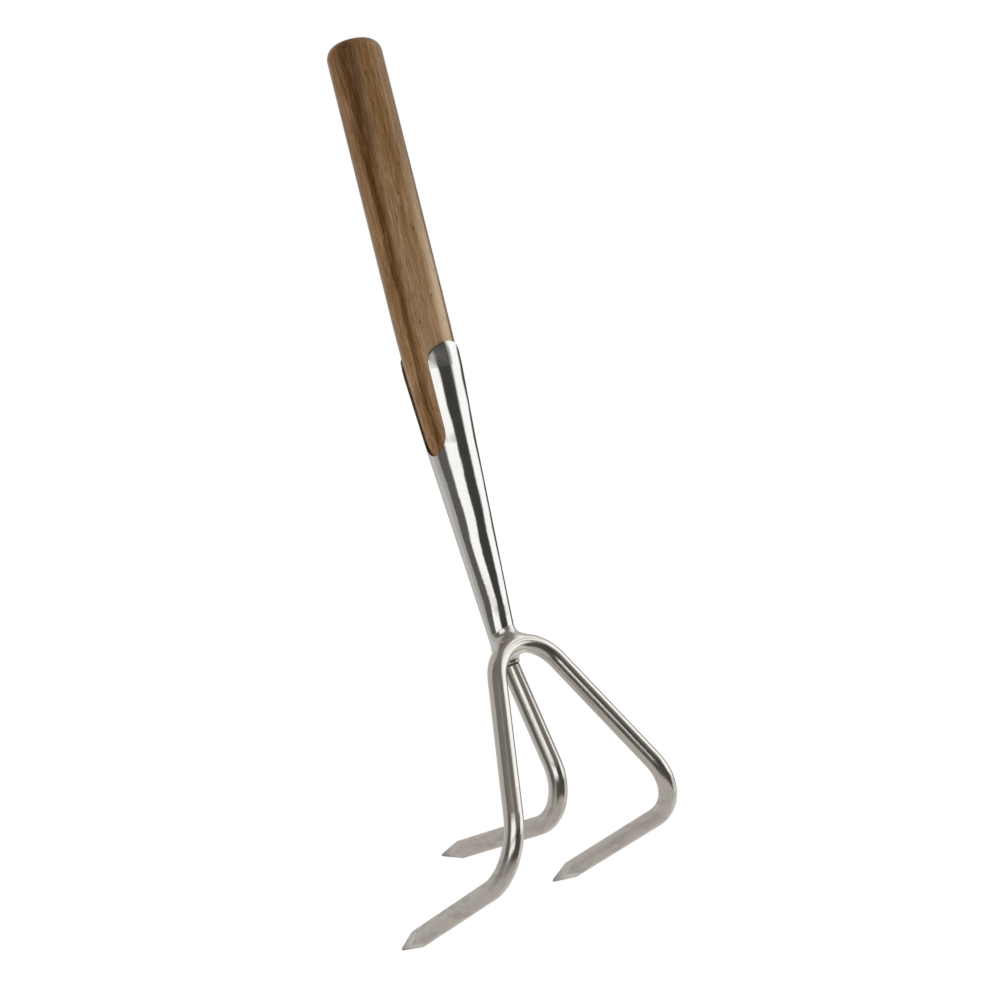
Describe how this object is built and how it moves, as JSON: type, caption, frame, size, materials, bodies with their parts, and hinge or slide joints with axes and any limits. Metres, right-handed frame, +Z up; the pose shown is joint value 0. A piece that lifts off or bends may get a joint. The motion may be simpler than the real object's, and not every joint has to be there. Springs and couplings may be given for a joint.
{
  "type": "hand cultivator",
  "caption": "Garden cultivator: bent round-bar tines with ground points, welded under a strapped conical socket on a straight wooden grip.",
  "frame": {"origin": "on the handle's axis, at the lower end of the parallel grip, just above the socket's straps", "axes": "+Z up the handle towards its free end, -Y the way the claws point, X across the tines; apart from the flats of its ground points the part is symmetric about the YZ plane"},
  "size_m": [0.1368, 0.1315, 0.4744],
  "materials": {
    "ash_wood": "satin",
    "polished_steel": "polished",
    "tine_steel": "polished",
    "weld_steel": "satin",
    "screw_steel": "polished"
  },
  "bodies": {
    "root": {"handle": "ash_wood", "socket": "polished_steel", "outer_tines": "tine_steel", "centre_tine": "tine_steel", "socket_weld": "weld_steel", "tine_weld": "weld_steel", "strap_screw": "screw_steel"}
  },
  "joints": []
}
